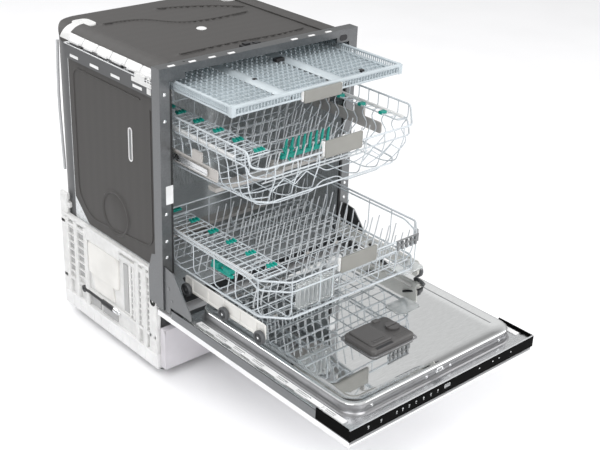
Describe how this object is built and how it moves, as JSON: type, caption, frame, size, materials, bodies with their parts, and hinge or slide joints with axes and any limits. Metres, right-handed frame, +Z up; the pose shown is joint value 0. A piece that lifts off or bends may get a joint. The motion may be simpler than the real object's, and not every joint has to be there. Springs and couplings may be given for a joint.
{
  "type": "built in dishwasher",
  "caption": "Built-in dishwasher with its door lowered, two wire baskets and a cutlery tray pulled out on runners, spray arms, pan-shaped door liner and black control strip.",
  "frame": {"origin": "on the floor, under the middle of the footprint with the door open; the cabinet's front plane is at Y = +0.064", "axes": "+X to the right seen from the front, +Y into the machine, +Z up; the door opens towards -Y"},
  "size_m": [0.598, 1.158, 0.812],
  "materials": {
    "brushed_tub_steel": "brushed stainless sheet, fine vertical grain",
    "frame_steel": "galvanised steel sheet, slightly mottled",
    "polished_door_steel": "polished stainless sheet that mirrors the racks",
    "bright_rail_steel": "drawn bright steel rail",
    "bitumen_mat": "matt bitumen sound-damping mat with faint stripes",
    "white_foam": "white segmented insulation",
    "white_plastic": "white moulded polypropylene",
    "cream_plastic": "smooth cream moulding",
    "beige_plastic": "warm beige moulding",
    "grey_plastic": "grey moulding",
    "black_plastic": "black moulding",
    "gasket_rubber": "soft black rubber",
    "painted_plinth": "light grey satin paint",
    "painted_panel": "white satin paint",
    "black_glass": "black glossy console with white marks",
    "dispenser_grey": "dark grey satin moulding",
    "coated_wire": "silver-grey nylon-coated wire",
    "handle_grey": "warm grey satin handle plate",
    "wheel_grey": "dark grey rollers",
    "grey_hose": "grey hose",
    "tray_plastic": "light blue-grey moulded tray"
  },
  "bodies": {
    "cabinet": {"tub_wrapper": "brushed_tub_steel", "tub_rear": "brushed_tub_steel", "tub_floor": "brushed_tub_steel", "front_frame": "frame_steel", "hinge_brackets": "frame_steel", "damping_mats": "bitumen_mat", "side_strips": "frame_steel", "corner_insulation": "white_foam", "rear_brackets": "white_plastic", "door_gasket": "gasket_rubber", "base_tray": "white_plastic", "base_walls": "white_plastic", "softener_unit": "cream_plastic", "sump": "grey_plastic", "circulation_pump": "black_plastic", "drain_pump": "black_plastic", "door_springs": "black_plastic", "door_ropes": "white_plastic", "side_bumpers": "gasket_rubber", "kick_plate": "painted_plinth", "door_latch": "black_plastic", "lower_runners": "brushed_tub_steel", "telescopic_rails": "bright_rail_steel", "tray_rails": "bright_rail_steel", "filter_plate": "brushed_tub_steel", "water_inlet": "white_plastic", "rear_hose": "grey_hose"},
    "foot_left": {"foot_left": "grey_plastic"},
    "foot_right": {"foot_right": "grey_plastic"},
    "rear_feet": {"rear_feet": "grey_plastic"},
    "filter_cup": {"filter_cup": "beige_plastic"},
    "lower_spray_arm": {"lower_spray_arm": "beige_plastic"},
    "ceiling_sprinkler": {"ceiling_sprinkler": "brushed_tub_steel"},
    "rail_slides": {"rail_slides": "bright_rail_steel"},
    "door": {"door_outer_panel": "painted_panel", "door_frame": "frame_steel", "door_liner": "polished_door_steel", "door_edge_strips": "white_plastic", "control_panel": "black_glass", "dispenser_body": "dispenser_grey", "hinge_arms": "frame_steel"},
    "dispenser_lid": {"dispenser_lid": "dispenser_grey"},
    "rinse_aid_cap": {"rinse_aid_cap": "dispenser_grey"},
    "lower_basket": {"lower_basket_walls": "coated_wire", "lower_basket_floor": "coated_wire", "lower_basket_handle": "handle_grey", "wheel_carriers": "beige_plastic"},
    "front_wheels": {"front_wheels": "wheel_grey"},
    "middle_wheels": {"middle_wheels": "wheel_grey"},
    "rear_wheels": {"rear_wheels": "wheel_grey"},
    "lower_cup_shelf": {"lower_cup_shelf": "coated_wire"},
    "tine_row": {"tine_row": "coated_wire"},
    "middle_basket": {"middle_basket_walls": "coated_wire", "middle_basket_floor": "coated_wire", "middle_basket_handle": "handle_grey", "basket_carriers": "beige_plastic"},
    "middle_cup_shelf": {"middle_cup_shelf": "coated_wire"},
    "upper_spray_arm": {"upper_spray_arm": "beige_plastic"},
    "cutlery_tray": {"cutlery_tray": "tray_plastic", "cutlery_tray_handle": "handle_grey"}
  },
  "joints": [
    {"name": "door_hinge", "type": "hinge", "parent": "cabinet", "child": "door", "pos_m": [0, 0.022, 0.208], "axis": [-1, 0, 0], "range_deg": [0, 0.4]},
    {"name": "lower_basket_slide", "type": "slide", "parent": "cabinet", "child": "lower_basket", "axis": [0, 1, 0], "range_m": [0, 0.362]},
    {"name": "middle_basket_slide", "type": "slide", "parent": "cabinet", "child": "middle_basket", "axis": [0, 1, 0], "range_m": [0, 0.302]},
    {"name": "rail_slides_travel", "type": "slide", "parent": "cabinet", "child": "rail_slides", "axis": [0, 1, 0], "range_m": [0, 0.151]},
    {"name": "cutlery_tray_slide", "type": "slide", "parent": "cabinet", "child": "cutlery_tray", "axis": [0, 1, 0], "range_m": [0, 0.252]},
    {"name": "front_wheels_roll", "type": "hinge", "parent": "lower_basket", "child": "front_wheels", "pos_m": [0, -0.242, 0.269], "axis": [1, 0, 0], "continuous": true},
    {"name": "middle_wheels_roll", "type": "hinge", "parent": "lower_basket", "child": "middle_wheels", "pos_m": [0, -0.113, 0.269], "axis": [1, 0, 0], "continuous": true},
    {"name": "rear_wheels_roll", "type": "hinge", "parent": "lower_basket", "child": "rear_wheels", "pos_m": [0, 0.03, 0.269], "axis": [1, 0, 0], "continuous": true},
    {"name": "lower_cup_shelf_fold", "type": "hinge", "parent": "lower_basket", "child": "lower_cup_shelf", "pos_m": [-0.24, 0.064, 0.3945], "axis": [0, -1, 0], "range_deg": [0, 88]},
    {"name": "tine_row_fold", "type": "hinge", "parent": "lower_basket", "child": "tine_row", "pos_m": [0, -0.0645, 0.31], "axis": [-1, 0, 0], "range_deg": [0, 80]},
    {"name": "middle_cup_shelf_fold", "type": "hinge", "parent": "middle_basket", "child": "middle_cup_shelf", "pos_m": [-0.24, 0.064, 0.6565], "axis": [0, -1, 0], "range_deg": [0, 88]},
    {"name": "upper_spray_arm_spin", "type": "hinge", "parent": "middle_basket", "child": "upper_spray_arm", "pos_m": [0, 0.019, 0.518], "axis": [0, 0, 1], "continuous": true},
    {"name": "lower_spray_arm_spin", "type": "hinge", "parent": "cabinet", "child": "lower_spray_arm", "pos_m": [0, 0.314, 0.259], "axis": [0, 0, 1], "continuous": true},
    {"name": "ceiling_sprinkler_spin", "type": "hinge", "parent": "cabinet", "child": "ceiling_sprinkler", "pos_m": [0, 0.314, 0.786], "axis": [0, 0, 1], "continuous": true},
    {"name": "filter_cup_twist", "type": "hinge", "parent": "cabinet", "child": "filter_cup", "pos_m": [0, 0.314, 0.24], "axis": [0, 0, 1], "range_deg": [0, 45]},
    {"name": "dispenser_lid_flap", "type": "hinge", "parent": "door", "child": "dispenser_lid", "pos_m": [-0.038, -0.334, 0.2565], "axis": [-1, 0, 0], "range_deg": [0, 90]},
    {"name": "rinse_aid_cap_turn", "type": "hinge", "parent": "door", "child": "rinse_aid_cap", "pos_m": [0.03, -0.376, 0.2545], "axis": [0, 0, 1], "range_deg": [0, 90]},
    {"name": "foot_left_height", "type": "slide", "parent": "cabinet", "child": "foot_left", "axis": [0, 0, -1], "range_m": [0, 0.045]},
    {"name": "foot_right_height", "type": "slide", "parent": "cabinet", "child": "foot_right", "axis": [0, 0, -1], "range_m": [0, 0.045]},
    {"name": "rear_feet_height", "type": "slide", "parent": "cabinet", "child": "rear_feet", "axis": [0, 0, -1], "range_m": [0, 0.045]}
  ],
  "couplings": [
    {"joint": "rail_slides_travel", "follows": "middle_basket_slide", "ratio": 0.5}
  ]
}
